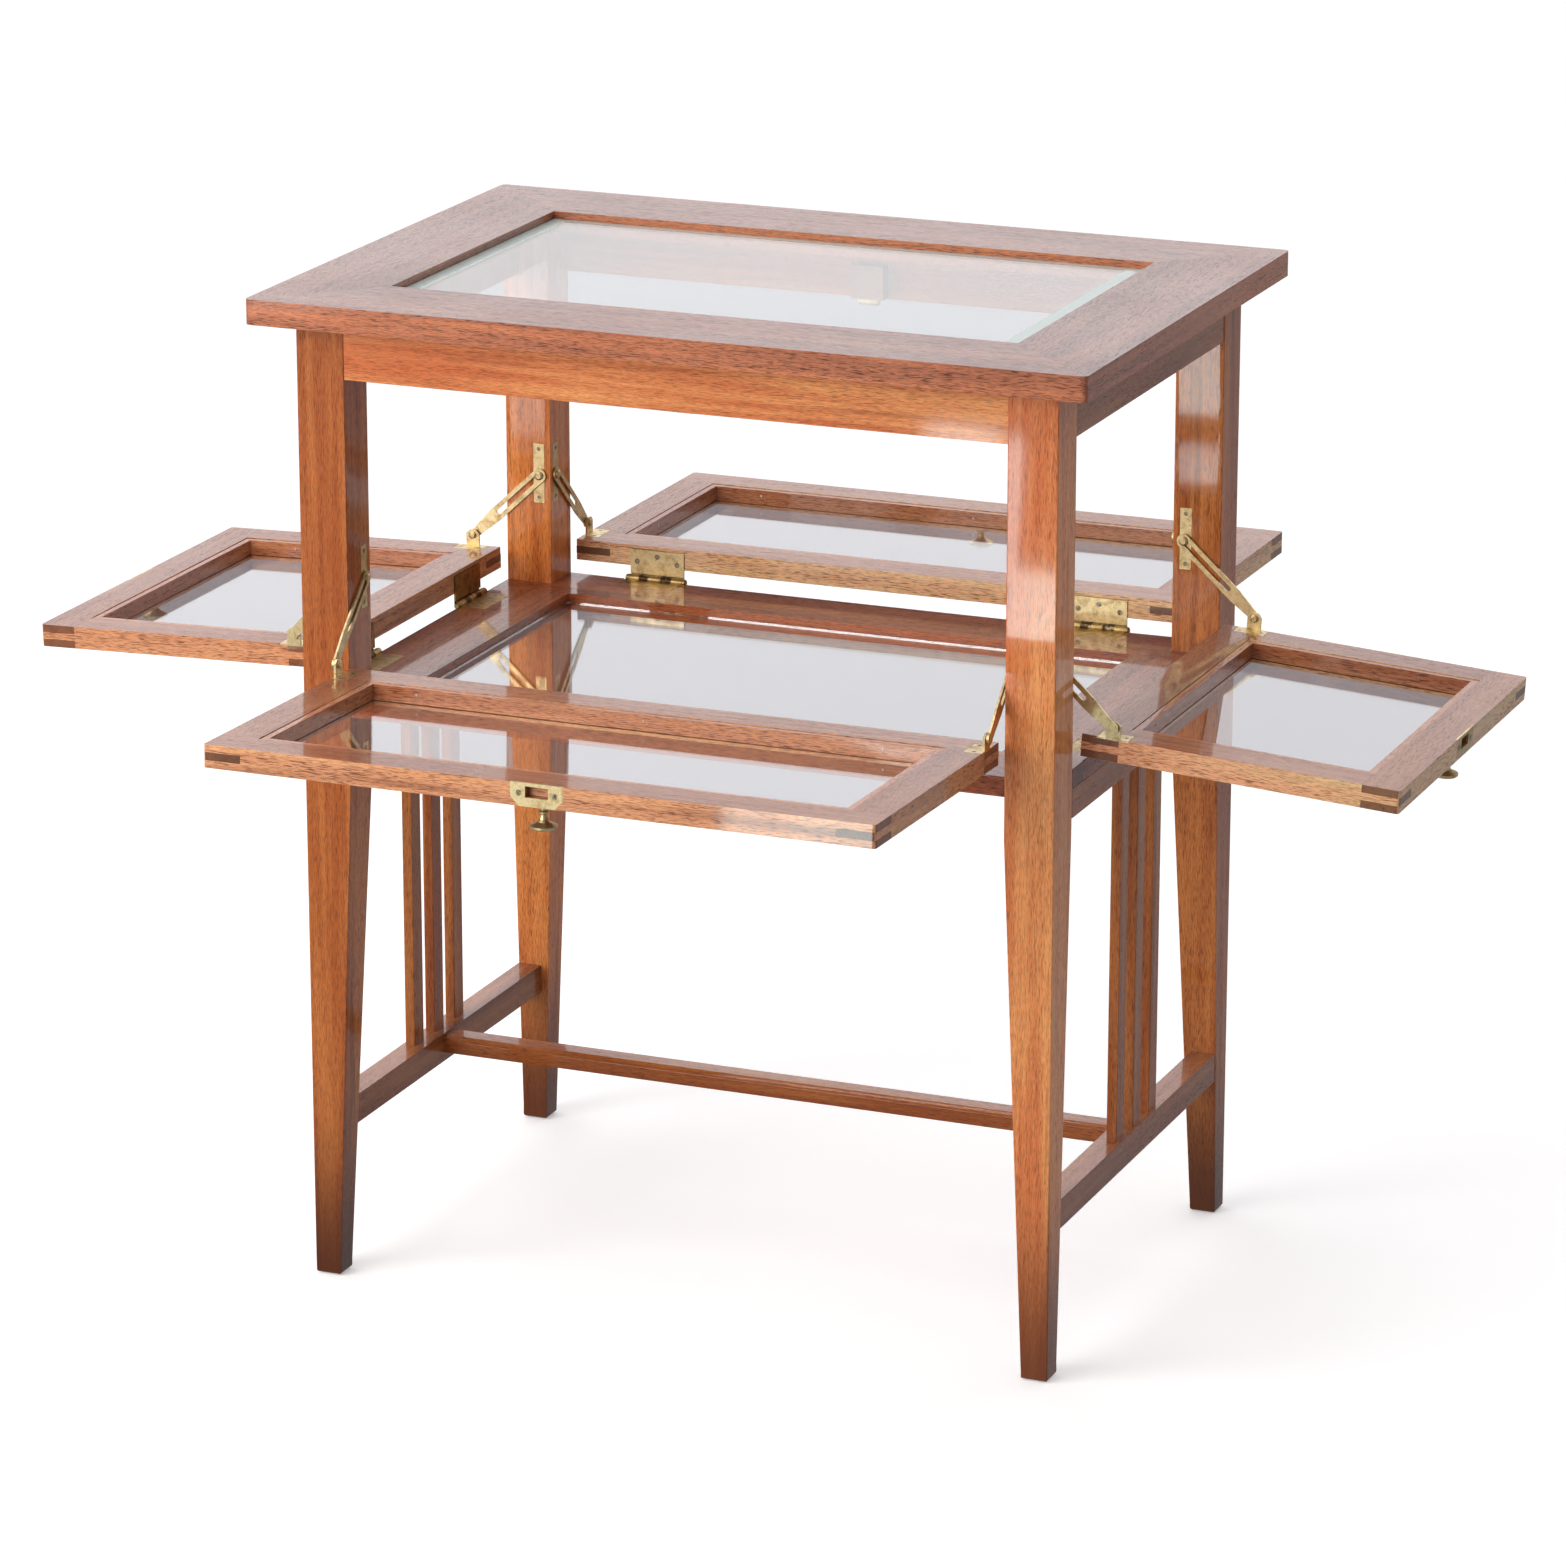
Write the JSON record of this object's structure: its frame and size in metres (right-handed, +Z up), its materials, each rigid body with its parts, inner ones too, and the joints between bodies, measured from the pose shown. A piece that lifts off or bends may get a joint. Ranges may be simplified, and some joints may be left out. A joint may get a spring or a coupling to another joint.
{
  "type": "glazed display side table",
  "caption": "Floor-standing glazed display table: a glass top over a glass shelf on tapered legs, closed by drop-down glazed flaps on slotted brass stays.",
  "frame": {"origin": "on the floor under the middle of the table", "axes": "+X along the long side to the right, -Y to the front, +Z up"},
  "size_m": [1.0765, 0.8824, 0.76],
  "materials": {
    "walnut_frame": "lacquered red-brown walnut, upright grain",
    "walnut_horizontal": "lacquered dark walnut, glossy",
    "walnut_flaps": "lacquered walnut",
    "walnut_beads": "lacquered walnut",
    "plate_glass": "clear, polished",
    "brass": "aged, speckled",
    "steel_screws": "slotted heads, dulled"
  },
  "bodies": {
    "case": {"leg_front_left": "walnut_frame", "leg_front_right": "walnut_frame", "leg_back_left": "walnut_frame", "leg_back_right": "walnut_frame", "top_frame": "walnut_horizontal", "top_glass": "plate_glass", "upper_aprons": "walnut_frame", "shelf_frame": "walnut_horizontal", "shelf_glass": "plate_glass", "end_aprons": "walnut_frame", "stretchers": "walnut_frame", "slats": "walnut_frame", "case_hinges": "brass", "stay_plates": "brass", "case_screws": "steel_screws", "catch_cases": "brass"},
    "front_flap": {"front_flap_frame": "walnut_flaps", "front_flap_beads": "walnut_beads", "front_flap_glass": "plate_glass", "front_flap_hinge_leaves": "brass", "front_stay_brackets": "brass", "front_strike_plate": "brass", "front_knob": "brass", "front_flap_screws": "steel_screws"},
    "front_arms": {"front_stay_arms": "brass"},
    "front_pins": {"front_stay_pins": "brass"},
    "front_catch": {"front_catch_bolt": "brass"},
    "back_flap": {"back_flap_frame": "walnut_flaps", "back_flap_beads": "walnut_beads", "back_flap_glass": "plate_glass", "back_flap_hinge_leaves": "brass", "back_stay_brackets": "brass", "back_strike_plate": "brass", "back_knob": "brass", "back_flap_screws": "steel_screws"},
    "back_arms": {"back_stay_arms": "brass"},
    "back_pins": {"back_stay_pins": "brass"},
    "back_catch": {"back_catch_bolt": "brass"},
    "right_flap": {"right_flap_frame": "walnut_flaps", "right_flap_beads": "walnut_beads", "right_flap_glass": "plate_glass", "right_flap_hinge_leaves": "brass", "right_stay_brackets": "brass", "right_strike_plate": "brass", "right_knob": "brass", "right_flap_screws": "steel_screws"},
    "right_arms": {"right_stay_arms": "brass"},
    "right_pins": {"right_stay_pins": "brass"},
    "right_catch": {"right_catch_bolt": "brass"},
    "left_flap": {"left_flap_frame": "walnut_flaps", "left_flap_beads": "walnut_beads", "left_flap_glass": "plate_glass", "left_flap_hinge_leaves": "brass", "left_stay_brackets": "brass", "left_strike_plate": "brass", "left_knob": "brass", "left_flap_screws": "steel_screws"},
    "left_arms": {"left_stay_arms": "brass"},
    "left_pins": {"left_stay_pins": "brass"},
    "left_catch": {"left_catch_bolt": "brass"}
  },
  "joints": [
    {"name": "front_flap_hinge", "type": "hinge", "parent": "case", "child": "front_flap", "pos_m": [0, -0.201, 0.4575], "axis": [-1, 0, 0], "range_deg": [0, 88.55]},
    {"name": "front_stay_pivot", "type": "hinge", "parent": "front_flap", "child": "front_arms", "pos_m": [0, -0.22612, 0.49245], "axis": [-1, 0, 0], "range_deg": [-139.58, 0]},
    {"name": "front_stay_slide", "type": "slide", "parent": "front_arms", "child": "front_pins", "axis": [0, -0.7304, -0.6831], "range_m": [0, 0.01484]},
    {"name": "front_catch_slide", "type": "slide", "parent": "case", "child": "front_catch", "axis": [0, 0, 1], "range_m": [0, 0.0045], "stiffness_N_per_m": 150, "springref_m": -0.003},
    {"name": "back_flap_hinge", "type": "hinge", "parent": "case", "child": "back_flap", "pos_m": [0, 0.201, 0.4575], "axis": [1, 0, 0], "range_deg": [0, 90.15]},
    {"name": "back_stay_pivot", "type": "hinge", "parent": "back_flap", "child": "back_arms", "pos_m": [0, 0.22709, 0.49173], "axis": [1, 0, 0], "range_deg": [-141.29, 0]},
    {"name": "back_stay_slide", "type": "slide", "parent": "back_arms", "child": "back_pins", "axis": [0, 0.7316, -0.6817], "range_m": [0, 0.01604]},
    {"name": "back_catch_slide", "type": "slide", "parent": "case", "child": "back_catch", "axis": [0, 0, 1], "range_m": [0, 0.0045], "stiffness_N_per_m": 150, "springref_m": -0.003},
    {"name": "right_flap_hinge", "type": "hinge", "parent": "case", "child": "right_flap", "pos_m": [0.297, 0, 0.4575], "axis": [0, -1, 0], "range_deg": [0, 93.9]},
    {"name": "right_stay_pivot", "type": "hinge", "parent": "right_flap", "child": "right_arms", "pos_m": [0.32527, 0, 0.48995], "axis": [0, -1, 0], "range_deg": [-145.17, 0]},
    {"name": "right_stay_slide", "type": "slide", "parent": "right_arms", "child": "right_pins", "axis": [0.7332, 0, -0.68], "range_m": [0, 0.01885]},
    {"name": "right_catch_slide", "type": "slide", "parent": "case", "child": "right_catch", "axis": [0, 0, 1], "range_m": [0, 0.0045], "stiffness_N_per_m": 150, "springref_m": -0.003},
    {"name": "left_flap_hinge", "type": "hinge", "parent": "case", "child": "left_flap", "pos_m": [-0.297, 0, 0.4575], "axis": [0, 1, 0], "range_deg": [0, 91.8]},
    {"name": "left_stay_pivot", "type": "hinge", "parent": "left_flap", "child": "left_arms", "pos_m": [-0.32406, 0, 0.49097], "axis": [0, 1, 0], "range_deg": [-143.01, 0]},
    {"name": "left_stay_slide", "type": "slide", "parent": "left_arms", "child": "left_pins", "axis": [-0.7325, 0, -0.6808], "range_m": [0, 0.01727]},
    {"name": "left_catch_slide", "type": "slide", "parent": "case", "child": "left_catch", "axis": [0, 0, 1], "range_m": [0, 0.0045], "stiffness_N_per_m": 150, "springref_m": -0.003}
  ],
  "couplings": [
    {"joint": "front_stay_pivot", "follows": "front_flap_hinge", "ratio": -1.5757},
    {"joint": "front_stay_slide", "follows": "front_flap_hinge", "m_per_rad": 0.0095902},
    {"joint": "back_stay_pivot", "follows": "back_flap_hinge", "ratio": -1.5667},
    {"joint": "back_stay_slide", "follows": "back_flap_hinge", "m_per_rad": 0.010179},
    {"joint": "right_stay_pivot", "follows": "right_flap_hinge", "ratio": -1.5455},
    {"joint": "right_stay_slide", "follows": "right_flap_hinge", "m_per_rad": 0.011487},
    {"joint": "left_stay_pivot", "follows": "left_flap_hinge", "ratio": -1.5573},
    {"joint": "left_stay_slide", "follows": "left_flap_hinge", "m_per_rad": 0.010767}
  ]
}
